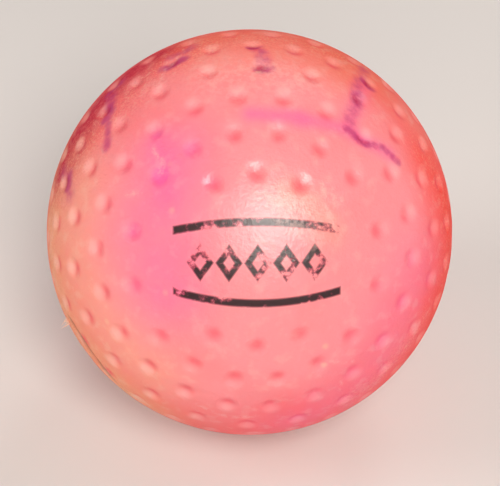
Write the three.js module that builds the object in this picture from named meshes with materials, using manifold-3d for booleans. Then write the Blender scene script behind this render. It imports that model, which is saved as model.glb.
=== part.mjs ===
// Field hockey ball, built in layers: a cork-and-rubber core, a yarn winding over it, and a dimpled PVC cover
// of two alike half cups that meet at the parting line.
// Millimetres, +Z up, origin at the centre of the ball.
// The front is -Y, and the smooth panel there is turned up.

import * as THREE from "three";
import { ConvexGeometry } from "three/addons/geometries/ConvexGeometry.js";
import { mergeVertices } from "three/addons/utils/BufferGeometryUtils.js";
import Module from "manifold-3d";

const wasm = await Module();
wasm.setup();

// Driving dimensions, in millimetres.
const BALL_DIAMETER = 73; // match rules allow a girth of 224 to 235 mm, which is 71.3 to 74.8 mm across
const COVER_WALL = 5.5;
const WINDING_WALL = 8.4; // leaves a core 44 mm across
const LAYER_GAP = 0.3; // between each layer and the next
const PARTING_GAP = 0.3; // between the lips of the two half cups
const YARN_END_HOLE = 2.4; // needle hole through which the last end of the yarn is drawn in
const DIMPLE_DIAMETER = 4.4;
const DIMPLE_DEPTH = 0.45;
const PANEL_HEIGHT = 25.2; // smooth panel at each pole, along the surface between the rims of the first row
const SEAM_LAND = 4.3; // smooth band from the parting line to the rims of the last row

// How far the front pole of the ball looks up, in degrees.
const FRONT_TILT = 34;

// Rows that go evenly round the pole. The two middle ones sit a little turned, in degrees.
const MIDDLE_COUNT = 22;
const MIDDLE_PITCH = 360 / MIDDLE_COUNT;
const MIDDLE_TURN = -2;
const OUTER_COUNT = 30;
const OUTER_PITCH = 360 / OUTER_COUNT;

// Rows of dimples on one half, from the pole outwards.
// A fan is its middle azimuth, where 90 is up on the panel, its count and its pitch in degrees.
const ROWS = [
  [
    [90, 3, 30],
    [270, 3, 30],
  ],
  [
    [90, 6, 20],
    [270, 6, 20],
    [0, 2, 25],
    [180, 2, 25],
  ],
  [[90 + MIDDLE_TURN, MIDDLE_COUNT, MIDDLE_PITCH]],
  [[90 + MIDDLE_TURN + MIDDLE_PITCH / 2, MIDDLE_COUNT, MIDDLE_PITCH]],
  [[90 + OUTER_PITCH / 2, OUTER_COUNT, OUTER_PITCH]],
  [[90, OUTER_COUNT, OUTER_PITCH]],
];

// Fineness of the facets. A dimple has rings of points at shares of its radius.
// The points between dimples keep clear of each one by a multiple of its radius.
const RIM_SIDES = 8;
const DIMPLE_RINGS = [0.5, 1];
const LIP_SIDES = 72;
const FILL_POINTS = 520;
const FILL_CLEARANCE = 1.6;
const BALL_SIDES = 24;
const HOLE_SIDES = 16;

const ballRadius = BALL_DIAMETER / 2;
const coverInside = ballRadius - COVER_WALL;
const windingOutside = coverInside - LAYER_GAP;
const windingInside = windingOutside - WINDING_WALL;
const coreRadius = windingInside - LAYER_GAP;

// Angles seen from the centre, in radians.
const dimpleReach = DIMPLE_DIAMETER / 2 / ballRadius;
const firstRow = (PANEL_HEIGHT / 2 + DIMPLE_DIAMETER / 2) / ballRadius;
const lastRow = Math.PI / 2 - (SEAM_LAND + DIMPLE_DIAMETER / 2) / ballRadius;
const rowPitch = (lastRow - firstRow) / (ROWS.length - 1);

// Unit vector at a polar angle from +Z and an azimuth from +X.
function direction(polar, azimuth) {
  return new THREE.Vector3(
    Math.sin(polar) * Math.cos(azimuth),
    Math.sin(polar) * Math.sin(azimuth),
    Math.cos(polar),
  );
}

// Closed geometry to a solid, and a solid back to geometry.
function solid(geometry) {
  const bare = new THREE.BufferGeometry();
  bare.setAttribute("position", geometry.getAttribute("position"));
  bare.setIndex(geometry.getIndex());
  const merged = mergeVertices(bare);
  return new wasm.Manifold(
    new wasm.Mesh({
      numProp: 3,
      vertProperties: new Float32Array(merged.getAttribute("position").array),
      triVerts: new Uint32Array(merged.getIndex().array),
    }),
  );
}

function geometryOf(body) {
  const mesh = body.getMesh();
  const geometry = new THREE.BufferGeometry();
  geometry.setAttribute("position", new THREE.BufferAttribute(mesh.vertProperties, 3));
  geometry.setIndex(new THREE.BufferAttribute(mesh.triVerts, 1));
  geometry.computeVertexNormals();
  return geometry;
}

// Plain ball. Every layer has the same facets, so the gap between two layers is even.
function ball(radius) {
  return new THREE.SphereGeometry(radius, BALL_SIDES, BALL_SIDES / 2);
}

function dimpleCentres() {
  const centres = [];
  ROWS.forEach((fans, row) => {
    const polar = firstRow + row * rowPitch;
    for (const [middle, count, pitch] of fans) {
      for (let k = 0; k < count; k++) {
        const azimuth = middle + (k - (count - 1) / 2) * pitch;
        centres.push(direction(polar, THREE.MathUtils.degToRad(azimuth)));
      }
    }
  });
  return centres;
}

// Points spread over the half ball, kept where there is no dimple and no lip close by.
function fillPoints(centres, lip) {
  const points = [];
  const turn = Math.PI * (3 - Math.sqrt(5));
  for (let k = 0; k < FILL_POINTS; k++) {
    const point = direction(Math.acos(1 - (k + 0.5) / FILL_POINTS), k * turn);
    const clear = centres.every((centre) => centre.angleTo(point) > FILL_CLEARANCE * dimpleReach);
    if (clear && point.z > lip + dimpleReach) points.push(point);
  }
  return points;
}

// One half of the cover, pole along +Z: a half ball spanned over points, its dimples pushed in
// and its inside cut out.
function halfCover() {
  const centres = dimpleCentres();
  const lip = PARTING_GAP / 2 / ballRadius;
  const points = fillPoints(centres, lip);
  for (const centre of centres) {
    const aim = new THREE.Quaternion().setFromUnitVectors(new THREE.Vector3(0, 0, 1), centre);
    points.push(centre);
    for (const share of DIMPLE_RINGS) {
      for (let k = 0; k < RIM_SIDES; k++) {
        const ring = direction(share * dimpleReach, (2 * Math.PI * (k + share)) / RIM_SIDES);
        points.push(ring.applyQuaternion(aim));
      }
    }
  }
  for (let k = 0; k < LIP_SIDES; k++) {
    points.push(direction(Math.acos(lip), (2 * Math.PI * k) / LIP_SIDES));
  }
  const half = new ConvexGeometry(points.map((point) => point.clone().multiplyScalar(ballRadius)));
  const position = half.getAttribute("position");
  const vertex = new THREE.Vector3();
  for (let i = 0; i < position.count; i++) {
    vertex.fromBufferAttribute(position, i);
    const nearest = Math.min(...centres.map((centre) => centre.angleTo(vertex)));
    const across = Math.min(nearest / dimpleReach, 1);
    vertex.setLength(ballRadius - DIMPLE_DEPTH * (1 - across ** 2) ** 2);
    position.setXYZ(i, vertex.x, vertex.y, vertex.z);
  }
  return geometryOf(solid(half).subtract(solid(ball(coverInside))));
}

// The wound yarn, with the needle hole that runs in from its surface.
function winding() {
  const holeRadius = YARN_END_HOLE / 2;
  const hole = new THREE.CylinderGeometry(holeRadius, holeRadius, 2 * ballRadius, HOLE_SIDES);
  hole.translate(0, ballRadius, 0);
  const shell = solid(ball(windingOutside)).subtract(solid(ball(windingInside)));
  return geometryOf(shell.subtract(solid(hole)));
}

// Finishes.
const PVC = { color: 0xf27f7c, roughness: 0.4, metalness: 0 };
const YARN = { color: 0xd9cfb8, roughness: 0.95, metalness: 0 };
const CORK = { color: 0x8a6442, roughness: 0.9, metalness: 0 };

function piece(name, geometry, finish) {
  const mesh = new THREE.Mesh(geometry, new THREE.MeshStandardMaterial(finish));
  mesh.name = name;
  return mesh;
}

const halfShape = halfCover();
const coverFront = piece("cover_front", halfShape, PVC);
const coverRear = piece("cover_rear", halfShape, PVC);
coverRear.rotation.y = Math.PI;

const layers = new THREE.Group();
layers.name = "layers";
layers.add(piece("cork_core", ball(coreRadius), CORK));
layers.add(piece("yarn_winding", winding(), YARN));
layers.add(coverFront);
layers.add(coverRear);
layers.rotation.x = THREE.MathUtils.degToRad(90 - FRONT_TILT);

const hockeyBall = new THREE.Group();
hockeyBall.name = "field_hockey_ball";
hockeyBall.add(layers);

export default hockeyBall;
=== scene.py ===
"""Field hockey ball: a worn coral PVC cover with real dimples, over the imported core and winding.

Sizes are in millimetres in the mould's own axes: +Z is the pole of a half, +Y is up on its smooth panel and
+X is right. A place on a half is (azimuth from +X, polar angle from the pole), in degrees. The two halves are
then turned into the row frame, in metres, where the front pole looks up by FRONT_TILT.
"""

import math

import bpy
import numpy as np
from mathutils import Matrix, Vector


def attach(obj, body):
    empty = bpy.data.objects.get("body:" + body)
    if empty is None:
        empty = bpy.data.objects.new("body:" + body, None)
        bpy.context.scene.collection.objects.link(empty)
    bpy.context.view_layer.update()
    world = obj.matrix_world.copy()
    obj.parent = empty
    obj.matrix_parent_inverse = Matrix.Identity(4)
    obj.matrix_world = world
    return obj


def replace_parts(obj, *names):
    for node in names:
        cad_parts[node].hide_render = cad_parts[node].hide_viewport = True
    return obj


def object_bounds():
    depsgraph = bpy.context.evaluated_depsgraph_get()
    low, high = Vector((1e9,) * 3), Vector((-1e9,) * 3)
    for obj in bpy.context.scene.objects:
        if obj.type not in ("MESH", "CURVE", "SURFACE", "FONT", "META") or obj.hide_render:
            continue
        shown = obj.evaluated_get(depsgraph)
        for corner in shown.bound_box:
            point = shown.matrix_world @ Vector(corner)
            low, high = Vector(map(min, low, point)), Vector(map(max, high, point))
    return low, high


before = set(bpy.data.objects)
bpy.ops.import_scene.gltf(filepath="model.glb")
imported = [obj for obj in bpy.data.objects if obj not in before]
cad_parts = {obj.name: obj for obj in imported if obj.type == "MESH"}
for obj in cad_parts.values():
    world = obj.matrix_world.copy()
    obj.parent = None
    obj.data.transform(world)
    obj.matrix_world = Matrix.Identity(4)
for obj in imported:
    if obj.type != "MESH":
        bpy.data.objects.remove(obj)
cad_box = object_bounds()

MM = 0.001
SEED = 478

# Cover, as in the part.
BALL_RADIUS = (cad_box[1].x - cad_box[0].x) / 2 / MM
COVER_WALL = 5.5
DIMPLE_DIAMETER = 4.4
DIMPLE_DEPTH = 0.45
PANEL_HEIGHT = 25.2
SEAM_LAND = 4.3
FRONT_TILT = 34.0
MIDDLE_COUNT = 22
MIDDLE_PITCH = 360 / MIDDLE_COUNT
MIDDLE_TURN = -2
OUTER_COUNT = 30
OUTER_PITCH = 360 / OUTER_COUNT

# Rows of dimples from the pole outwards, each of fans of (middle azimuth, count, pitch).
ROWS = [
    [(90, 3, 30), (270, 3, 30)],
    [(90, 6, 20), (270, 6, 20), (0, 2, 25), (180, 2, 25)],
    [(90 + MIDDLE_TURN, MIDDLE_COUNT, MIDDLE_PITCH)],
    [(90 + MIDDLE_TURN + MIDDLE_PITCH / 2, MIDDLE_COUNT, MIDDLE_PITCH)],
    [(90 + OUTER_PITCH / 2, OUTER_COUNT, OUTER_PITCH)],
    [(90, OUTER_COUNT, OUTER_PITCH)],
]

# Fine shape of the moulded surface, in mm: the groove at the parting line, and the knocks on each half.
SEAM_DEPTH = 0.09
SEAM_WIDTH = 0.22
SEAM_CLEARANCE = 0.01
DENT_COUNT = 34
DENT_RADIUS = (0.5, 1.3)
DENT_DEPTH = (0.02, 0.07)

# Painted shade and light in the dimples, in mm. The wall nearer to the pole is painted dark red as its shade,
# and the other wall is painted pale as the light that falls on it.
# Each spot is moved from its dimple's middle towards the pole, or away from it where a distance is negative.
# The two distances are for the first row and the last.
DIMPLE_SHADE_INWARD = (0.45, 1.2)
DIMPLE_SHADE_DIAMETER = 4.0
LIT_WALL_INWARD = (-1.2, -1.2)
LIT_WALL_DIAMETER = 4.2

# The painted light on the dimples' outer walls sets in at one polar angle and is full at another, in degrees.
LIT_WALL_FROM = 25
LIT_WALL_FULL = 55

# How much of this painted shade and light each half has.
FRONT_DIMPLE_SHADING = 1.0
REAR_DIMPLE_SHADING = 0.75

# Torn crease low on the left of the front half, in mm: its groove, and the lip pushed up beside it.
# The lip's place and spread are in widths of the crease, whose ends fade out over shares of its length.
CREASE = [(201, 73), (205, 70), (209, 68.8), (217, 68.3), (224, 70.2), (229, 71.5)]
CREASE_GROOVE = 0.4
CREASE_LIP = 0.3
CREASE_WIDTH = 0.34
CREASE_SMOOTHING = 3.0
CREASE_FADE = (0.12, 0.25)
LIP_PLACE = 1.7
LIP_SPREAD = 1.3

# Loose fibres at the crease's end, in mm. Splay turns them off the outward unit vector, and bend is a share
# of their length.
WHISKER_COUNT = 8
WHISKER_ROOT = (204.5, 77)
WHISKER_SPREAD = 0.7
WHISKER_SPLAY = 1.0
WHISKER_BEND = 0.5
WHISKER_LENGTH = (1.3, 2.3)
WHISKER_RADIUS = 0.12

# Fineness: squares along a side of the grid on a half, rings inside the cup and the polar angle of the last
# one, steps in each width, half width or reach of a mark, and steps and sides of a fibre.
GRID = 280
INNER_ROWS = 10
INNER_END = 4
CREASE_STEPS = 4
STROKE_STEPS = 3
ZONE_STEPS = 4
WHISKER_STEPS = 5
WHISKER_SIDES = 5

# Ink and scuff strokes on the front half: a route, its half width in mm and its strength.
# A stroke has faded out at STROKE_SOFTNESS times its half width.
STROKE_SOFTNESS = 1.8
INK_STROKES = [
    ([(54, 44.5), (52, 44.4), (48, 44.2), (44, 45.4)], 1.0, 0.8),
    ([(42, 47.0), (39, 48.8), (35, 49.7), (32, 50.7)], 0.85, 0.8),
    ([(53, 44.8), (55, 48.6), (55, 52.1)], 1.5, 0.55),
    ([(55, 55.0), (56, 57.6), (56, 59.5)], 1.4, 0.75),
    ([(53.6, 67.2), (55.6, 68.2)], 1.3, 1.0),
    ([(57, 60.0), (57, 70.0), (56, 80.0)], 1.5, 0.5),
    ([(88, 56.0), (87, 56.4), (86, 56.4)], 1.3, 1.0),
    ([(87, 56.5), (87, 60.6), (88, 65.0)], 1.5, 0.7),
    ([(88.5, 67.8), (90.5, 67.7)], 1.0, 0.8),
    ([(134, 72.9), (136, 68.9)], 1.4, 0.7),
    ([(136, 68.9), (137, 66.3), (139, 64.5)], 1.5, 1.0),
    ([(139, 64.5), (140, 61.3), (143, 56.9)], 0.9, 0.8),
    ([(143, 57.4), (145, 55.6)], 1.1, 0.85),
    ([(160, 67.0), (161, 66.1), (162, 65.3)], 1.5, 1.0),
    ([(160, 72.9), (160, 69.5), (164, 62.5)], 1.8, 0.55),
    ([(116, 67.2), (114, 67.4), (111, 68.1)], 1.4, 1.0),
    ([(114, 72.0), (110, 72.3), (107, 74.2)], 1.6, 0.55),
    ([(130, 77.3), (133, 77.6), (134, 76.2)], 1.3, 0.9),
]
SCUFF_STROKES = [
    ([(49, 26.0), (39, 23.2), (25, 21.6)], 0.6, 0.45),
    ([(43, 26.8), (35, 25.2)], 0.5, 0.4),
    ([(37, 26.0), (36, 26.6)], 0.8, 0.5),
    ([(134, 41.4), (134, 38.7), (135, 36.1), (138, 35.3)], 0.5, 0.5),
    ([(151, 36.5), (152, 37.6), (154, 39.7)], 0.45, 0.45),
    ([(120, 60.0), (117, 66.0), (112, 71.0)], 0.5, 0.3),
    ([(250, 50.0), (262, 53.0), (271, 51.0)], 0.5, 0.3),
    ([(305, 36.0), (312, 42.0)], 0.3, 0.35),
    ([(304, 45.5), (302, 49.5)], 0.3, 0.3),
    # These two are broad pale patches where the key lamp's highlight falls: a paler scuffed colour that also
    # paints part of that highlight.
    ([(84, 17.0), (66, 17.0), (48, 18.0)], 2.2, 0.35),
    ([(60, 13.0), (40, 14.0), (20, 16.0)], 1.6, 0.3),
    ([(76, 55.0), (102, 54.0)], 5.0, 0.25),
]

# Each half is faded round a place near its pole and deeper in colour farther off, in degrees. Towards the
# seam that deep colour also paints the shade of the ball's edge.
PALEST_MIDDLE = (95, 13)
PALEST_WITHIN = 48
DEEP_AND_SHADE_BEYOND = 90

# Zones of colour and grit on the front half: a route, its reach in mm and its strength.
# Deep zones, mostly near the seam, where they also paint the shade of the ball's edge.
DEEP_AND_SHADE_ZONES = [
    ([(288, 50), (302, 49), (318, 46), (338, 46), (352, 52)], 7.0, 0.36),
    ([(120, 50), (132, 56), (142, 62)], 6.0, 0.2),
    ([(346, 61), (0, 62), (22, 64)], 7.0, 0.5),
    ([(346, 68), (0, 70), (22, 71)], 6.0, 0.7),
    ([(30, 63), (47, 68)], 7.0, 0.65),
    ([(58, 78), (76, 80), (90, 80), (112, 81)], 8.0, 0.93),
    ([(60, 66), (76, 66), (88, 66)], 6.0, 0.45),
    ([(112, 70), (122, 67), (132, 66), (146, 67)], 4.5, 0.45),
]
PALE_ZONES = [
    ([(235, 74), (262, 76), (300, 74)], 9.0, 0.45),
]
PINK_ZONES = [
    ([(135, 37.6), (146, 33.0), (158, 31.6), (168, 31.3), (181, 28.3), (197, 27.3)], 6.5, 0.43),
    ([(131, 42.0), (134, 35.4), (138, 32.6), (146, 29.0)], 2.4, 0.45),
    ([(123, 35.0), (130, 27.5), (145, 23.0), (171, 20.0), (200, 21.5)], 5.5, 0.28),
    ([(92, 39.6), (86, 39.4), (78, 39.9), (72, 40.3)], 1.5, 0.6),
    ([(72, 40.3), (60, 42.4), (54, 44.0), (47, 45.0), (36, 49.5)], 1.5, 0.5),
    ([(54, 46.0), (55, 54.0), (55, 64.0)], 1.8, 0.4),
    ([(285, 58), (302, 54), (318, 50), (335, 46), (350, 48)], 9.0, 0.32),
]
TAN_ZONES = [
    ([(160, 76), (177, 74), (190, 73), (204, 74), (216, 72), (230, 74)], 8.5, 0.95),
    ([(163, 57), (180, 55), (197, 52), (212, 49), (228, 47)], 7.0, 0.45),
    ([(212, 67), (226, 65), (240, 67)], 6.0, 0.35),
    ([(60, 76), (76, 78), (90, 77), (108, 78)], 8.0, 0.24),
    ([(66, 62), (80, 62), (100, 62)], 6.0, 0.22),
    ([(36, 74), (52, 72)], 6.0, 0.15),
    # This one is a cream tint where the key lamp's highlight falls, partly a paler colour and partly painted
    # highlight.
    ([(64, 19.1), (47, 19.9), (23, 20.4)], 3.0, 0.3),
]
STAIN_ZONES = [
    ([(117, 80.6), (120, 80.9), (127, 80), (134, 78.5), (142, 77), (151, 77.5), (160, 76)], 4.8, 0.98),
    ([(124, 74), (134, 74), (144, 73)], 3.2, 0.5),
    ([(145, 69), (150, 68), (156, 67)], 3.0, 0.42),
]
GRIT_ZONES = [
    ([(110, 70), (124, 66), (136, 64), (150, 66), (160, 70)], 6.0, 0.8),
    ([(66, 76), (78, 75), (90, 74), (105, 75)], 5.0, 0.7),
    ([(168, 74), (186, 74), (204, 72), (220, 70), (232, 72)], 4.0, 0.6),
    ([(28, 66), (12, 70), (350, 69)], 5.0, 0.55),
    ([(336, 62), (322, 60), (302, 59)], 4.0, 0.5),
]

# Marks that run on over the parting line from the front half to the rear, in the rear half's own places.
REAR_INK = [
    ([(40, 70), (44, 76), (47, 83)], 0.8, 0.8),
    ([(60, 74), (66, 79), (70, 84)], 0.7, 0.7),
]
REAR_PALE = [
    ([(305, 76), (278, 78), (240, 76)], 9.0, 0.45),
]
REAR_TAN = [
    ([(20, 80), (3, 79), (350, 78), (336, 79), (324, 78), (310, 80)], 8.5, 0.85),
]
REAR_STAIN = [
    ([(60, 86), (50, 85), (40, 86), (28, 87)], 3.6, 0.8),
]

# Marks strewn over the rear half: a count, and ranges of the reach in mm and of the strength.
STREWN_SCUFFS = (10, (0.3, 0.45), (0.3, 0.5))
STREWN_RICH = (4, (6.0, 9.0), (0.3, 0.6))
STREWN_PINK = (6, (4.0, 8.0), (0.3, 0.6))
STREWN_TAN = (5, (5.0, 9.0), (0.25, 0.5))
STREWN_GRIT = (5, (4.0, 7.0), (0.4, 0.7))

# Each of them starts between two polar angles and runs on by up to an azimuth and a polar angle, in degrees.
STREWN_BETWEEN = (10, 80)
STREWN_AZIMUTH = 25
STREWN_POLAR = 12

# Print on the front panel: two thin bars that curve round a row of open lozenges, in mm. The opening is a
# share of a lozenge.
BAR_RISE = 6.6
BAR_CURVE = 110.0
BAR_THICKNESS = 1.25
BAR_REACH = 13.5
LOZENGE_PITCH = 4.6
LOZENGE_COUNT = 5
LOZENGE_WIDTH = 4.2
LOZENGE_HEIGHT = 6.0
LOZENGE_OPENING = 0.45
PRINT_EDGE = 0.25

# Noise patterns on the cover: (scale per mm, detail, roughness).
BROAD_NOISE = (0.06, 3.0, 0.55)
CLOUDY_NOISE = (0.35, 4.0, 0.55)
GRAIN_NOISE = (1.5, 4.0, 0.6)
BROKEN_NOISE = (1.1, 4.0, 0.65)
BLOTCH_NOISE = (0.6, 4.0, 0.6)
PATCH_NOISE = (0.22, 3.0, 0.55)
CHIP_NOISE = (0.8, 5.0, 0.65)
GRIT_NOISE = (2.4, 2.0, 0.55)

# How strongly each colour is laid over those before it. A range is where in a pattern it sets in or ends.
DEEP_AND_SHADE_DRIFT = 0.7
ZONE_LEAST = 0.55
ZONE_CLOUDY = 0.9
# Painted shade on the dimples' walls nearer the pole, and how much tan and deep ground add to it.
DIMPLE_SHADE_SHARE = 0.56
DIMPLE_SHADE_ON_TAN = 0.15
DIMPLE_SHADE_ON_DEEP = 0.15
PINK_IN_DIMPLE = 1.9
BROKEN_RANGE = (0.38, 0.62)
STAIN_SHARE = 0.8
STAIN_BROKEN = 0.3
# The stain is thinner on the dimples' painted lit walls.
STAIN_ON_LIT_WALL = -0.75
# Painted light on the dimples' other walls, and how tan and deep ground change it.
LIT_WALL_SHARE = 0.5
LIT_WALL_ON_TAN = 0.15
LIT_WALL_ON_DEEP = -0.15
MOTTLE_RANGE = (0.5, 0.72)
MOTTLE_SHARE = 0.18
GRIT_DARK_RANGE = (0.36, 0.47)
GRIT_DARK_SHARE = 0.25
GRIT_PALE_RANGE = (0.54, 0.65)
GRIT_PALE_SHARE = 0.5
INK_BLOTCHES = 2.0
INK_RANGE = (0.05, 0.95)
INK_SHARE = 0.8
INK_IN_DIMPLE = 0.17
INK_DEEP_RANGE = (0.2, 0.9)
CREASE_SHARE = 0.75
PRINT_PATCHES = 1.1
PRINT_CHIPS = 0.9
PRINT_THIN_RANGE = (0.78, 0.92)
PRINT_THIN_SHARE = 0.8
PRINT_THICK_RANGE = (0.86, 1.02)
PRINT_THICK_SHARE = 0.95

# Specks: cells per mm, the share of cells that hold one, its soft edge in shares of a cell, and its strength.
SPECK_CELLS = 0.2
SPECK_CHOSEN = 0.3
SPECK_RANGE = (0.034, 0.17)
SPECK_SHARE = 0.3

# Surface of the cover: its roughness and what clouds and scuffs add, how far fine grain outweighs the clouds
# in its bump, and the bump's height in mm.
ROUGHNESS = 0.44
ROUGH_CLOUDY = 0.16
ROUGH_SCUFFED = 0.15
GRAIN_OVER_CLOUDS = 1.4
BUMP_HEIGHT = 0.08

# Fibre, cork and yarn: noise as above and the scales of other patterns, all per metre, turns in degrees, and
# heights in mm. The height of the fuzz is a share of the strands'.
FIBRE_NOISE = (1800.0, 2.0, 0.55)
CORK_CELLS = 420.0
CORK_HEIGHT = 0.2
BINDER_NOISE = (300.0, 3.0, 0.55)
BINDER_RANGE = (0.58, 0.68)
YARN_SCALE = 190.0
YARN_WANDER = 3.0
YARN_DETAIL = 2.0
YARN_TURN = (25, 40, 0)
YARN_HEIGHT = 0.4
FUZZ_NOISE = (1500.0, 4.0, 0.55)
FUZZ_SHARE = 0.25
FUZZ_HEIGHT = 0.3

# Colours, linear.
CORAL = (0.97, 0.285, 0.31)
# Deep coral, which towards the seam also paints the shade of the ball's edge.
DEEP_CORAL_AND_SHADE = (0.97, 0.073, 0.055)
# Painted shade for the dimples' walls nearer the pole, then painted light for their other walls.
DIMPLE_SHADE = (0.96, 0.072, 0.112)
LIT_WALL_PALE = (0.3, 0.3, 0.29)
HOT_PINK = (0.96, 0.13, 0.355)
TAN = (0.96, 0.385, 0.225)
CRIMSON = (0.62, 0.014, 0.05)
INK = (0.54, 0.042, 0.18)
INK_DEEP = (0.5, 0.016, 0.09)
PRINT = (0.022, 0.014, 0.015)
PRINT_THIN = (0.3, 0.02, 0.06)
SCUFF = (0.96, 0.56, 0.5)
SPECK = (0.96, 0.58, 0.36)
GRIT_PALE = (0.92, 0.5, 0.33)
GRIT_DARK = (0.5, 0.09, 0.07)
CREASE_DARK = (0.2, 0.06, 0.035)
FIBRE = (0.9, 0.52, 0.34)
FIBRE_PALE = (0.94, 0.76, 0.6)
CORK_DARK = (0.19, 0.1, 0.045)
CORK_PALE = (0.36, 0.21, 0.1)
BINDER = (0.035, 0.028, 0.025)
YARN_DARK = (0.5, 0.44, 0.32)
YARN_PALE = (0.74, 0.68, 0.54)
YARN_FUZZ = (0.42, 0.34, 0.24)
FLOOR = (0.72, 0.7, 0.68)
KEY_LIGHT = (1.0, 0.96, 0.89)
FILL_LIGHT = (1.0, 0.9, 0.87)
SKY_LIGHT = (1.0, 0.98, 0.97)

# Floor: its side and the distances over which its own glow sets in, in metres, and that glow's strength.
FLOOR_SIZE = 24.0
FLOOR_GLOW_RANGE = (0.4, 1.1)
FLOOR_GLOW = 0.72

# Lamps: azimuth and elevation in degrees, distance and width in metres, watts, colour, and whether the ball
# mirrors it.
LAMPS = {
    "key": (12, 46.5, 0.75, 0.34, 4.0, KEY_LIGHT, True),
    "left_fill": (-82, 32, 0.9, 0.5, 2.9, FILL_LIGHT, False),
    "front_fill": (4, 18, 1.4, 0.6, 3.3, FILL_LIGHT, False),
    "right_fill": (112, 34, 0.9, 0.5, 1.6, FILL_LIGHT, False),
    "back_fill": (156, 38, 0.9, 0.3, 1.5, FILL_LIGHT, False),
}
SKY_STRENGTH = 0.18

# Camera, as the photograph was taken: its distance in radii of the ball, pixels of the 500 by 486 frame, the
# sensor's width in mm, and the nearest point seen in metres.
CAMERA_AZIMUTH = -2.8
CAMERA_ELEVATION = 41.8
CAMERA_ROLL = 1.7
CAMERA_DISTANCE = 8.2
FRAME_WIDTH = 500
FRAME_HEIGHT = 486
BALL_CENTRE = (249.5, 232.2)
BALL_PIXELS = 202.7
SENSOR = 36.0
NEAREST_SEEN = 0.01


def direction(azimuth, polar):
    """Unit vectors at an azimuth from +X and a polar angle from +Z, in degrees."""
    a, p = np.radians(azimuth), np.radians(polar)
    return np.stack([np.sin(p) * np.cos(a), np.sin(p) * np.sin(a), np.cos(p)], axis=-1)


def arc_mm(cosine):
    """Distance along the ball's surface between two directions, from the cosine of their angle."""
    return np.arccos(np.clip(cosine, -1, 1)) * BALL_RADIUS


def smooth(low, high, value):
    """0 below low, 1 above high, smooth between them."""
    t = np.clip((value - low) / (high - low), 0, 1)
    return t * t * (3 - 2 * t)


def line_points(route, step):
    """Unit vectors about a step apart, in mm, along a route of places."""
    corners = direction(*np.array(route, float).T)
    made = []
    for start, end in zip(corners[:-1], corners[1:]):
        count = max(2, int(np.linalg.norm(end - start) * BALL_RADIUS / step))
        share = np.linspace(0, 1, count)[:, None]
        made.append(start * (1 - share) + end * share)
    made = np.concatenate(made)
    return made / np.linalg.norm(made, axis=1, keepdims=True)


def line_distance(points, route, step):
    """Distance in mm from each unit vector to a route."""
    return arc_mm((points @ line_points(route, step).T).max(axis=1))


def dimple_centres(first_inward=0.0, last_inward=0.0):
    """Unit vectors to the dimples' middles, moved towards the pole by mm given for the first and last row."""
    first = PANEL_HEIGHT / 2 + DIMPLE_DIAMETER / 2 - first_inward
    last = math.pi / 2 * BALL_RADIUS - SEAM_LAND - DIMPLE_DIAMETER / 2 - last_inward
    polar = np.degrees(np.linspace(first, last, len(ROWS)) / BALL_RADIUS)
    centres = []
    for row, fans in enumerate(ROWS):
        for middle, count, pitch in fans:
            azimuth = middle + (np.arange(count) - (count - 1) / 2) * pitch
            centres.extend(direction(azimuth, np.full(count, polar[row])))
    return centres


def spot_share(points, centres, diameter):
    """How far each point lies inside a round spot, from 0 at its edge to 1 at its middle."""
    share = np.zeros(len(points))
    for centre in centres:
        across = arc_mm(points @ centre) / (diameter / 2)
        share = np.maximum(share, np.clip(1 - across**2, 0, 1) ** 2)
    return share


def dents(points, rng):
    """Depth in mm of the small knocks that play has left."""
    depth = np.zeros(len(points))
    for _ in range(DENT_COUNT):
        aim = direction(rng.uniform(0, 360), math.degrees(math.acos(rng.uniform(0, 1))))
        radius = rng.uniform(*DENT_RADIUS)
        depth += rng.uniform(*DENT_DEPTH) * np.exp(-((arc_mm(points @ aim) / radius) ** 2))
    return depth


def crease_profile(points):
    """The torn crease: its height in mm, a groove with a lip on the seam's side, and how dark the groove is
    made.
    """
    line = line_points(CREASE, CREASE_WIDTH / CREASE_STEPS)
    nearness = points @ line.T
    nearest = nearness.argmax(axis=1)
    along = nearest / (len(line) - 1)
    side = np.sign(line[nearest, 2] - points[:, 2])
    across = arc_mm(nearness.max(axis=1)) * side / CREASE_WIDTH
    start_fade, end_fade = CREASE_FADE
    ends = smooth(0, start_fade, along) * smooth(0, end_fade, 1 - along)
    groove = np.exp(-(across**2))
    lip = np.exp(-(((across - LIP_PLACE) / LIP_SPREAD) ** 2))
    return ends * (CREASE_LIP * lip - CREASE_GROOVE * groove), ends * groove


def seam_distance(points):
    """Distance in mm from the parting line, along the surface."""
    return np.arcsin(np.clip(points[:, 2], -1, 1)) * BALL_RADIUS


def painted(points, strokes):
    """How strongly each point is marked by strokes with soft edges."""
    amount = np.zeros(len(points))
    for route, half_width, strength in strokes:
        distance = line_distance(points, route, half_width / STROKE_STEPS)
        inside = 1 - smooth(0, STROKE_SOFTNESS * half_width, distance)
        amount = np.maximum(amount, strength * inside)
    return amount


def zoned(points, zones):
    """How strongly each point is tinted by zones that fade out all round."""
    clear = np.ones(len(points))
    for route, reach, strength in zones:
        distance = line_distance(points, route, reach / ZONE_STEPS)
        clear *= 1 - strength * np.exp(-((distance / reach) ** 2))
    return 1 - clear


def deep_and_shade_share(points, deep_and_shade, pale):
    """How much deep colour each point keeps, with zones of more and less; by the seam it also paints shade.
    """
    off = np.degrees(arc_mm(points @ direction(*PALEST_MIDDLE)) / BALL_RADIUS)
    paler = 1 - smooth(PALEST_WITHIN, DEEP_AND_SHADE_BEYOND, off)
    return (1 - paler * (1 - zoned(points, deep_and_shade))) * (1 - zoned(points, pale))


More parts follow.
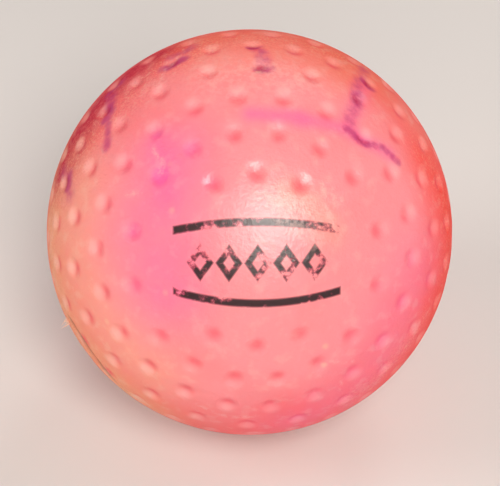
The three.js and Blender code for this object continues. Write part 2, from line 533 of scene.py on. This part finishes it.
def strewn(rng, count, reach, strength):
    """Zones or strokes strewn over a half."""
    made = []
    for _ in range(count):
        azimuth = rng.uniform(0, 360)
        polar = rng.uniform(*STREWN_BETWEEN)
        end_azimuth = azimuth + rng.uniform(-STREWN_AZIMUTH, STREWN_AZIMUTH)
        end_polar = polar + rng.uniform(-STREWN_POLAR, STREWN_POLAR)
        route = [(azimuth, polar), (end_azimuth, end_polar)]
        made.append((route, rng.uniform(*reach), rng.uniform(*strength)))
    return made


def square_grid():
    """A square grid spread over the half ball: unit vectors, quads that face out, and the outer ring."""
    steps = np.linspace(-1, 1, GRID + 1)
    a, b = np.meshgrid(steps, steps, indexing="ij")
    wide = np.abs(a) > np.abs(b)
    long_side = np.where(wide, a, b)
    short_side = np.where(wide, b, a)
    turn = math.pi / 4 * short_side / np.where(long_side == 0, 1, long_side)
    azimuth = np.where(wide, turn, math.pi / 2 - turn) + np.where(long_side < 0, math.pi, 0)
    lip = math.pi / 2 - SEAM_CLEARANCE / BALL_RADIUS
    polar = np.abs(long_side) * lip
    points = direction(np.degrees(azimuth.ravel()), np.degrees(polar.ravel()))
    index = np.arange((GRID + 1) ** 2).reshape(GRID + 1, GRID + 1)
    quads = np.stack([index[:-1, :-1], index[1:, :-1], index[1:, 1:], index[:-1, 1:]], axis=-1)
    ring = np.concatenate([index[:-1, 0], index[-1, :-1], index[:0:-1, -1], index[0, :0:-1]])
    return points, quads.reshape(-1, 4), ring


def half_cup(name, to_row, outside, quads, ring):
    """One half of the cover as a closed mesh: its outside in mm, its lip and its plain inside."""
    inside_radius = BALL_RADIUS - COVER_WALL
    lip_polar = math.degrees(math.acos(SEAM_CLEARANCE / inside_radius))
    azimuth = np.degrees(np.arctan2(outside[ring, 1], outside[ring, 0]))
    count = len(ring)
    inner_polar = np.linspace(lip_polar, INNER_END, INNER_ROWS)
    rows = [direction(azimuth, np.full(count, polar)) for polar in inner_polar]
    pole = np.array([[0, 0, 1]])
    place = np.concatenate([outside, np.concatenate([*rows, pole]) * inside_radius])

    loops = [ring] + [len(outside) + k * count + np.arange(count) for k in range(INNER_ROWS)]
    faces = quads.tolist()
    ahead = np.roll(np.arange(count), -1)
    for here, after in zip(loops[:-1], loops[1:]):
        faces += np.stack([here, after, after[ahead], here[ahead]], axis=-1).tolist()
    last = loops[-1]
    top = np.full(count, len(place) - 1)
    faces += np.stack([last, top, last[ahead]], axis=-1).tolist()

    mesh = bpy.data.meshes.new(name)
    mesh.from_pydata((place @ np.array(to_row).T * MM).tolist(), [], faces)
    mesh.shade_smooth()
    mesh.update()
    layer = mesh.attributes.new("place", "FLOAT_VECTOR", "POINT")
    layer.data.foreach_set("vector", place.astype(np.float32).ravel())
    return mesh


def store(mesh, name, outside_values):
    """Keeps one number per point of the outside, and 0 on the inside."""
    values = np.zeros(len(mesh.vertices), np.float32)
    values[: len(outside_values)] = outside_values
    layer = mesh.attributes.new(name, "FLOAT", "POINT")
    layer.data.foreach_set("value", values)


class Graph:
    """Builds a material from nodes. Inputs are named by keyword, with _ for each space."""

    def __init__(self, name):
        self.material = bpy.data.materials.new(name)
        self.material.use_nodes = True
        self.tree = self.material.node_tree
        self.tree.nodes.clear()

    def set(self, socket, value):
        if isinstance(value, bpy.types.NodeSocket):
            self.tree.links.new(value, socket)
        elif socket.type == "RGBA":
            socket.default_value = (*value, 1.0)
        else:
            socket.default_value = value

    def node(self, kind, settings=None, **inputs):
        node = self.tree.nodes.new(kind)
        for key, value in (settings or {}).items():
            setattr(node, key, value)
        for key, value in inputs.items():
            self.set(node.inputs[key.replace("_", " ")], value)
        return node

    def add(self, kind, output=0, settings=None, **inputs):
        return self.node(kind, settings, **inputs).outputs[output]

    def attribute(self, name, output="Fac"):
        return self.add("ShaderNodeAttribute", output, {"attribute_name": name})

    def math(self, operation, first, second=0.0, third=0.0, clamp=False):
        node = self.node("ShaderNodeMath", {"operation": operation, "use_clamp": clamp})
        for socket, value in zip(node.inputs, (first, second, third)):
            self.set(socket, value)
        return node.outputs[0]

    def times(self, first, second, clamp=False):
        return self.math("MULTIPLY", first, second, clamp=clamp)

    def times_plus(self, first, second, third):
        return self.math("MULTIPLY_ADD", first, second, third)

    def inverse(self, value):
        return self.math("SUBTRACT", 1.0, value)

    def between(self, value, low, high):
        """0 below low, 1 above high, smooth between them."""
        settings = {"interpolation_type": "SMOOTHSTEP"}
        return self.add("ShaderNodeMapRange", 0, settings, Value=value, From_Min=low, From_Max=high)

    def beyond(self, value, limit, softness):
        """0 below a limit and 1 above it, with a soft edge."""
        return self.between(value, limit - softness, limit + softness)

    def noise(self, place, scale, detail, roughness):
        inputs = {"Vector": place, "Scale": scale, "Detail": detail, "Roughness": roughness}
        return self.add("ShaderNodeTexNoise", **inputs)

    def mix(self, share, first, second, blend="MIX"):
        # The node lists its sockets for every data type, so those for colours are found by number.
        node = self.node("ShaderNodeMix", {"data_type": "RGBA", "blend_type": blend})
        self.set(node.inputs[0], share)
        self.set(node.inputs[6], first)
        self.set(node.inputs[7], second)
        return node.outputs[2]

    def finish(self, **inputs):
        shader = self.add("ShaderNodeBsdfPrincipled", **inputs)
        self.node("ShaderNodeOutputMaterial", Surface=shader)
        return self.material


def print_shape(graph, place):
    """1 inside the print's bars and lozenges on the front panel."""
    x, y, z = graph.node("ShaderNodeSeparateXYZ", Vector=place).outputs
    width = graph.math("ABSOLUTE", x)
    height = graph.math("ABSOLUTE", y)
    bend = graph.math("DIVIDE", graph.times(x, x), BAR_CURVE)
    from_bar = graph.math("SUBTRACT", graph.math("ADD", height, bend), BAR_RISE)
    off_bar = graph.beyond(graph.math("ABSOLUTE", from_bar), BAR_THICKNESS / 2, PRINT_EDGE)
    off_bar = graph.math("MAXIMUM", off_bar, graph.beyond(width, BAR_REACH, PRINT_EDGE))

    reach = LOZENGE_PITCH * LOZENGE_COUNT / 2
    from_first = graph.math("ADD", x, reach - LOZENGE_PITCH / 2)
    from_middle = graph.math("PINGPONG", from_first, LOZENGE_PITCH / 2)
    slant = graph.math("DIVIDE", from_middle, LOZENGE_WIDTH / 2)
    slant = graph.math("ADD", slant, graph.math("DIVIDE", height, LOZENGE_HEIGHT / 2))
    soft = PRINT_EDGE / (LOZENGE_WIDTH / 2)
    opening = graph.inverse(graph.beyond(slant, LOZENGE_OPENING, soft))
    off_lozenge = graph.math("MAXIMUM", graph.beyond(slant, 1, soft), opening)
    off_lozenge = graph.math("MAXIMUM", off_lozenge, graph.math("GREATER_THAN", width, reach))

    bare = graph.math("MINIMUM", off_bar, off_lozenge)
    front = graph.math("GREATER_THAN", z, 0.0)
    return graph.times(graph.inverse(bare), front)


def worn_print(graph, place, colour):
    """The print over the cover's colour: black where it is thick, crimson where it has worn thin."""
    shape = print_shape(graph, place)
    chips = graph.times(graph.noise(place, *CHIP_NOISE), PRINT_CHIPS)
    left = graph.times_plus(graph.noise(place, *PATCH_NOISE), PRINT_PATCHES, chips)
    thin = graph.times(shape, graph.between(left, *PRINT_THIN_RANGE))
    thick = graph.times(shape, graph.between(left, *PRINT_THICK_RANGE))
    colour = graph.mix(graph.times(thin, PRINT_THIN_SHARE), colour, PRINT_THIN)
    return graph.mix(graph.times(thick, PRINT_THICK_SHARE), colour, PRINT)


def speckled(graph, place, colour):
    """Small soft spots over the cover's colour, in some cells of a scattered pattern."""
    cells = graph.node("ShaderNodeTexVoronoi", Vector=place, Scale=SPECK_CELLS)
    inside = graph.inverse(graph.between(cells.outputs["Distance"], *SPECK_RANGE))
    draw = graph.add("ShaderNodeSeparateColor", Color=cells.outputs["Color"])
    spots = graph.times(inside, graph.math("LESS_THAN", draw, SPECK_CHOSEN))
    return graph.mix(graph.times(spots, SPECK_SHARE), colour, SPECK)


def gritty(graph, place, colour):
    """Fine pale and dark grains over the cover's colour, where play has roughened it."""
    grains = graph.noise(place, *GRIT_NOISE)
    zone = graph.attribute("grit")
    dark = graph.times(graph.inverse(graph.between(grains, *GRIT_DARK_RANGE)), GRIT_DARK_SHARE)
    colour = graph.mix(graph.times(zone, dark), colour, GRIT_DARK)
    pale = graph.times(graph.between(grains, *GRIT_PALE_RANGE), GRIT_PALE_SHARE)
    return graph.mix(graph.times(zone, pale), colour, GRIT_PALE)


def cover_material(name, printed):
    """Worn coral PVC: colour zones, painted shade and light, ink, scuffs, specks and an uneven satin gloss.
    """
    graph = Graph(name)
    place = graph.attribute("place", "Vector")
    hollow = graph.attribute("hollow")
    deep_and_shade = graph.attribute("deep_and_shade")
    tan = graph.attribute("tan")
    lit_wall = graph.attribute("lit_wall")
    cloudy = graph.noise(place, *CLOUDY_NOISE)
    broken = graph.between(graph.noise(place, *BROKEN_NOISE), *BROKEN_RANGE)

    # Deep colour, which towards the seam also paints the shade of the ball's edge.
    deep_and_shade_amount = graph.times_plus(graph.noise(place, *BROAD_NOISE), DEEP_AND_SHADE_DRIFT, deep_and_shade)
    deep_and_shade_amount = graph.math("SUBTRACT", deep_and_shade_amount, DEEP_AND_SHADE_DRIFT / 2, clamp=True)
    colour = graph.mix(deep_and_shade_amount, CORAL, DEEP_CORAL_AND_SHADE)
    uneven = graph.times_plus(cloudy, ZONE_CLOUDY, ZONE_LEAST)
    colour = graph.mix(graph.times(tan, uneven, clamp=True), colour, TAN)

    # Painted shade on each dimple's wall nearer the pole.
    dimple_shade_amount = graph.times_plus(deep_and_shade, DIMPLE_SHADE_ON_DEEP, graph.times_plus(tan, DIMPLE_SHADE_ON_TAN, DIMPLE_SHADE_SHARE))
    colour = graph.mix(graph.times(graph.attribute("dimple_shade"), dimple_shade_amount), colour, DIMPLE_SHADE)
    pink = graph.attribute("pink")
    pink = graph.times(pink, graph.times_plus(graph.times(pink, hollow), PINK_IN_DIMPLE, uneven))
    colour = graph.mix(graph.math("MINIMUM", pink, 1.0), colour, HOT_PINK)

    stain = graph.times(graph.attribute("stain"), graph.times_plus(broken, STAIN_BROKEN, STAIN_SHARE))
    stain = graph.times(stain, graph.times_plus(lit_wall, STAIN_ON_LIT_WALL, 1.0), clamp=True)
    colour = graph.mix(stain, colour, CRIMSON)
    # Painted light on each dimple's other wall, laid on by screening.
    lit_wall_amount = graph.times_plus(deep_and_shade, LIT_WALL_ON_DEEP, graph.times_plus(tan, LIT_WALL_ON_TAN, LIT_WALL_SHARE))
    colour = graph.mix(graph.times(lit_wall, lit_wall_amount), colour, LIT_WALL_PALE, "SCREEN")
    mottle = graph.times(graph.between(cloudy, *MOTTLE_RANGE), MOTTLE_SHARE)
    colour = graph.mix(mottle, colour, SCUFF)
    colour = gritty(graph, place, colour)

    blotches = graph.times(graph.noise(place, *BLOTCH_NOISE), INK_BLOTCHES)
    blotted = graph.between(graph.times(graph.attribute("ink"), blotches), *INK_RANGE)
    ink = graph.times(blotted, graph.times_plus(hollow, INK_IN_DIMPLE, INK_SHARE), clamp=True)
    ink_colour = graph.mix(graph.between(hollow, *INK_DEEP_RANGE), INK, INK_DEEP)
    colour = graph.mix(ink, colour, ink_colour)
    # The crease's groove is made darker.
    colour = graph.mix(graph.times(graph.attribute("crease"), CREASE_SHARE), colour, CREASE_DARK)
    if printed:
        colour = worn_print(graph, place, colour)
    scuff = graph.times(graph.attribute("scuff"), broken)
    colour = graph.mix(scuff, colour, SCUFF)
    colour = speckled(graph, place, colour)

    rough = graph.times_plus(scuff, ROUGH_SCUFFED, graph.times_plus(cloudy, ROUGH_CLOUDY, ROUGHNESS))
    height = graph.times_plus(graph.noise(place, *GRAIN_NOISE), GRAIN_OVER_CLOUDS, cloudy)
    bump = graph.add("ShaderNodeBump", Strength=0.9, Distance=BUMP_HEIGHT * MM, Height=height)
    return graph.finish(
        Base_Color=colour,
        Roughness=rough,
        Normal=bump,
        Subsurface_Weight=0.3,
        Subsurface_Radius=(1.0, 0.12, 0.1),
        Subsurface_Scale=1.3 * MM,
        Specular_IOR_Level=0.0,
        Coat_Weight=0.2,
        Coat_Roughness=0.34,
        Coat_IOR=4.0,
        Coat_Normal=bump,
    )


def fibre_material():
    graph = Graph("torn_fibres")
    place = graph.add("ShaderNodeTexCoord", "Object")
    tone = graph.noise(place, *FIBRE_NOISE)
    return graph.finish(Base_Color=graph.mix(tone, FIBRE, FIBRE_PALE), Roughness=0.6)


def cork_material():
    graph = Graph("cork_core")
    place = graph.add("ShaderNodeTexCoord", "Object")
    cells = graph.node("ShaderNodeTexVoronoi", Vector=place, Scale=CORK_CELLS)
    tone = graph.add("ShaderNodeSeparateColor", Color=cells.outputs["Color"])
    colour = graph.mix(tone, CORK_DARK, CORK_PALE)
    binder = graph.between(graph.noise(place, *BINDER_NOISE), *BINDER_RANGE)
    colour = graph.mix(binder, colour, BINDER)
    height = cells.outputs["Distance"]
    bump = graph.add("ShaderNodeBump", Strength=0.6, Distance=CORK_HEIGHT * MM, Height=height)
    return graph.finish(Base_Color=colour, Roughness=0.92, Normal=bump)


def yarn_material():
    graph = Graph("wound_yarn")
    place = graph.add("ShaderNodeTexCoord", "Object")
    turn = tuple(math.radians(angle) for angle in YARN_TURN)
    strands = graph.add(
        "ShaderNodeTexWave",
        "Fac",
        Vector=graph.add("ShaderNodeMapping", Vector=place, Rotation=turn),
        Scale=YARN_SCALE,
        Distortion=YARN_WANDER,
        Detail=YARN_DETAIL,
    )
    fuzz = graph.noise(place, *FUZZ_NOISE)
    colour = graph.mix(strands, YARN_DARK, YARN_PALE)
    colour = graph.mix(graph.times(fuzz, FUZZ_SHARE), colour, YARN_FUZZ)
    height = graph.times_plus(fuzz, FUZZ_HEIGHT, strands)
    bump = graph.add("ShaderNodeBump", Strength=0.8, Distance=YARN_HEIGHT * MM, Height=height)
    return graph.finish(Base_Color=colour, Roughness=0.95, Normal=bump)


def add_piece(name, mesh, material):
    mesh.materials.append(material)
    piece = bpy.data.objects.new(name, mesh)
    bpy.context.collection.objects.link(piece)
    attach(piece, "root")
    return piece


def mould_to_row(turn):
    """Mould axes to row axes: a turn about the panel's up, then the tilt of the whole ball."""
    tilt = Matrix.Rotation(math.radians(90 - FRONT_TILT), 3, "X")
    return tilt @ Matrix.Rotation(math.radians(turn), 3, "Y")


def cover(name, node, turn, rng, creased, dimple_shading, marks, material):
    """One worn half of the cover, with its marks and zones kept as numbers on its points."""
    points, quads, ring = square_grid()
    hollow = spot_share(points, dimple_centres(), DIMPLE_DIAMETER)
    groove_dark = np.zeros(len(points))
    rise = np.zeros(len(points))
    if creased:
        rise, groove_dark = crease_profile(points)
        from_crease = line_distance(points, CREASE, CREASE_WIDTH)
        hollow *= 1 - np.exp(-((from_crease / CREASE_SMOOTHING) ** 2))
    radius = BALL_RADIUS + rise - DIMPLE_DEPTH * hollow - dents(points, rng)
    radius -= SEAM_DEPTH * np.exp(-((seam_distance(points) / SEAM_WIDTH) ** 2))
    mesh = half_cup(name, mould_to_row(turn), points * radius[:, None], quads, ring)

    # Painted shade on each dimple's wall nearer the pole, and painted light on its other wall.
    shaded_wall_spots = spot_share(points, dimple_centres(*DIMPLE_SHADE_INWARD), DIMPLE_SHADE_DIAMETER)
    lit_wall_spots = spot_share(points, dimple_centres(*LIT_WALL_INWARD), LIT_WALL_DIAMETER)
    polar = np.degrees(np.arccos(np.clip(points[:, 2], -1, 1)))
    store(mesh, "hollow", hollow)
    store(mesh, "dimple_shade", dimple_shading * shaded_wall_spots)
    store(mesh, "lit_wall", dimple_shading * smooth(LIT_WALL_FROM, LIT_WALL_FULL, polar) * lit_wall_spots)
    store(mesh, "crease", groove_dark)
    # Deep colour, towards the seam also painted shade of the ball's edge.
    store(mesh, "deep_and_shade", deep_and_shade_share(points, marks["deep_and_shade"], marks["pale"]))
    store(mesh, "ink", painted(points, marks["ink"]))
    store(mesh, "scuff", painted(points, marks["scuff"]))
    for zone in ("pink", "tan", "stain", "grit"):
        store(mesh, zone, zoned(points, marks[zone]))
    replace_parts(add_piece(name, mesh, material), node)


def covers():
    rng = np.random.default_rng(SEED)
    front = {
        "ink": INK_STROKES,
        "scuff": SCUFF_STROKES,
        "deep_and_shade": DEEP_AND_SHADE_ZONES,
        "pale": PALE_ZONES,
        "pink": PINK_ZONES,
        "tan": TAN_ZONES,
        "stain": STAIN_ZONES,
        "grit": GRIT_ZONES,
    }
    front_pvc = cover_material("worn_pvc_front", printed=True)
    cover(
        "cover_front_worn",
        "cover_front",
        turn=0,
        rng=rng,
        creased=True,
        dimple_shading=FRONT_DIMPLE_SHADING,
        marks=front,
        material=front_pvc,
    )
    rear = {
        "ink": REAR_INK,
        "scuff": strewn(rng, *STREWN_SCUFFS),
        "deep_and_shade": strewn(rng, *STREWN_RICH),
        "pale": REAR_PALE,
        "pink": strewn(rng, *STREWN_PINK),
        "tan": strewn(rng, *STREWN_TAN) + REAR_TAN,
        "stain": REAR_STAIN,
        "grit": strewn(rng, *STREWN_GRIT),
    }
    rear_pvc = cover_material("worn_pvc_rear", printed=False)
    cover(
        "cover_rear_worn",
        "cover_rear",
        turn=180,
        rng=rng,
        creased=False,
        dimple_shading=REAR_DIMPLE_SHADING,
        marks=rear,
        material=rear_pvc,
    )


def whiskers():
    """Loose fibres that stand out of the torn end of the crease, each a thin bent cone."""
    rng = np.random.default_rng(SEED)
    root = Vector(direction(*WHISKER_ROOT))
    corners, faces = [], []
    for _ in range(WHISKER_COUNT):
        start = root * BALL_RADIUS + Vector(rng.uniform(-WHISKER_SPREAD, WHISKER_SPREAD, 3))
        start = start.normalized() * (BALL_RADIUS - WHISKER_RADIUS)
        aim = (root + Vector(rng.uniform(-WHISKER_SPLAY, WHISKER_SPLAY, 3))).normalized()
        bend = Vector(rng.uniform(-WHISKER_BEND, WHISKER_BEND, 3))
        length = rng.uniform(*WHISKER_LENGTH)
        side = aim.orthogonal().normalized()
        first = len(corners)
        for step in range(WHISKER_STEPS):
            share = step / WHISKER_STEPS
            middle = start + aim * length * share + bend * length * share**2
            for k in range(WHISKER_SIDES):
                turn = Matrix.Rotation(2 * math.pi * k / WHISKER_SIDES, 3, aim)
                corners.append(middle + turn @ side * WHISKER_RADIUS * (1 - share))
        tip = len(corners)
        corners.append(start + (aim + bend) * length)
        for step in range(WHISKER_STEPS - 1):
            low = first + step * WHISKER_SIDES
            high = low + WHISKER_SIDES
            for k in range(WHISKER_SIDES):
                after = (k + 1) % WHISKER_SIDES
                faces.append((low + k, low + after, high + after, high + k))
        last = tip - WHISKER_SIDES
        faces += [(last + k, last + (k + 1) % WHISKER_SIDES, tip) for k in range(WHISKER_SIDES)]
        faces.append(tuple(first + k for k in reversed(range(WHISKER_SIDES))))
    mesh = bpy.data.meshes.new("crease_fibres")
    to_row = mould_to_row(0)
    mesh.from_pydata([to_row @ corner * MM for corner in corners], [], faces)
    mesh.update()
    add_piece("crease_fibres", mesh, fibre_material())


def inner_layers():
    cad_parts["cork_core"].data.materials[0] = cork_material()
    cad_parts["yarn_winding"].data.materials[0] = yarn_material()


def floor_material():
    """Plain and pale. Far off it shows its own colour to camera, glossy and transmission rays."""
    graph = Graph("floor")
    place = graph.add("ShaderNodeTexCoord", "Object")
    away = graph.add("ShaderNodeVectorMath", "Value", {"operation": "LENGTH"}, Vector=place)
    path = graph.node("ShaderNodeLightPath")
    seen = graph.math("MAXIMUM", path.outputs["Is Camera Ray"], path.outputs["Is Glossy Ray"])
    seen = graph.math("MAXIMUM", seen, path.outputs["Is Transmission Ray"])
    glow = graph.times(graph.times(graph.between(away, *FLOOR_GLOW_RANGE), seen), FLOOR_GLOW)
    return graph.finish(Base_Color=FLOOR, Roughness=0.9, Emission_Color=FLOOR, Emission_Strength=glow)


def stage():
    floor_mesh = bpy.data.meshes.new("floor")
    half = FLOOR_SIZE / 2
    low = cad_box[0].z
    corners = [(-half, -half, low), (half, -half, low), (half, half, low), (-half, half, low)]
    floor_mesh.from_pydata(corners, [], [(0, 1, 2, 3)])
    floor_mesh.materials.append(floor_material())
    floor = bpy.data.objects.new("floor", floor_mesh)
    # The floor lights the ball but stays out of its gloss, so that the limb keeps its colour.
    floor.visible_glossy = False
    bpy.context.collection.objects.link(floor)


def around(azimuth, elevation, distance):
    """A place seen from the ball's centre, in metres. Azimuth 0 is in front, and 90 on the right."""
    a, e = math.radians(azimuth), math.radians(elevation)
    return Vector((math.sin(a) * math.cos(e), -math.cos(a) * math.cos(e), math.sin(e))) * distance


def softbox(name, place, size, power, colour, mirrored):
    """A round lamp that shines on the ball, and shows in its gloss where it is mirrored."""
    lamp = bpy.data.lights.new(name, "AREA")
    lamp.shape = "DISK"
    lamp.size = size
    lamp.energy = power
    lamp.color = colour
    holder = bpy.data.objects.new(name, lamp)
    holder.visible_glossy = mirrored
    holder.location = place
    holder.rotation_euler = (-place).to_track_quat("-Z", "Y").to_euler()
    bpy.context.collection.objects.link(holder)


def lights():
    for name, (azimuth, elevation, distance, size, power, colour, mirrored) in LAMPS.items():
        softbox(name, around(azimuth, elevation, distance), size, power, colour, mirrored)
    world = bpy.data.worlds.new("studio")
    world.use_nodes = True
    sky = world.node_tree.nodes["Background"]
    sky.inputs["Color"].default_value = (*SKY_LIGHT, 1.0)
    sky.inputs["Strength"].default_value = SKY_STRENGTH
    bpy.context.scene.world = world


def camera():
    lens = bpy.data.cameras.new("camera")
    distance = CAMERA_DISTANCE * BALL_RADIUS * MM
    focal_pixels = BALL_PIXELS * math.sqrt(CAMERA_DISTANCE**2 - 1)
    lens.sensor_width = SENSOR
    lens.lens = focal_pixels * SENSOR / FRAME_WIDTH
    lens.clip_start = NEAREST_SEEN
    back = around(CAMERA_AZIMUTH, CAMERA_ELEVATION, 1.0)
    roll = Matrix.Rotation(math.radians(CAMERA_ROLL), 3, "Z")
    turn = (-back).to_track_quat("-Z", "Y").to_matrix() @ roll
    off_x = (BALL_CENTRE[0] - FRAME_WIDTH / 2) / focal_pixels
    off_y = (FRAME_HEIGHT / 2 - BALL_CENTRE[1]) / focal_pixels
    aim = Matrix.Rotation(-off_y, 3, "X") @ Matrix.Rotation(off_x, 3, "Y")
    holder = bpy.data.objects.new("camera", lens)
    holder.matrix_world = Matrix.Translation(back * distance) @ (turn @ aim).to_4x4()
    bpy.context.collection.objects.link(holder)
    bpy.context.scene.camera = holder


camera()
lights()
stage()
covers()
whiskers()
inner_layers()

bpy.context.scene.view_settings.view_transform = "Standard"
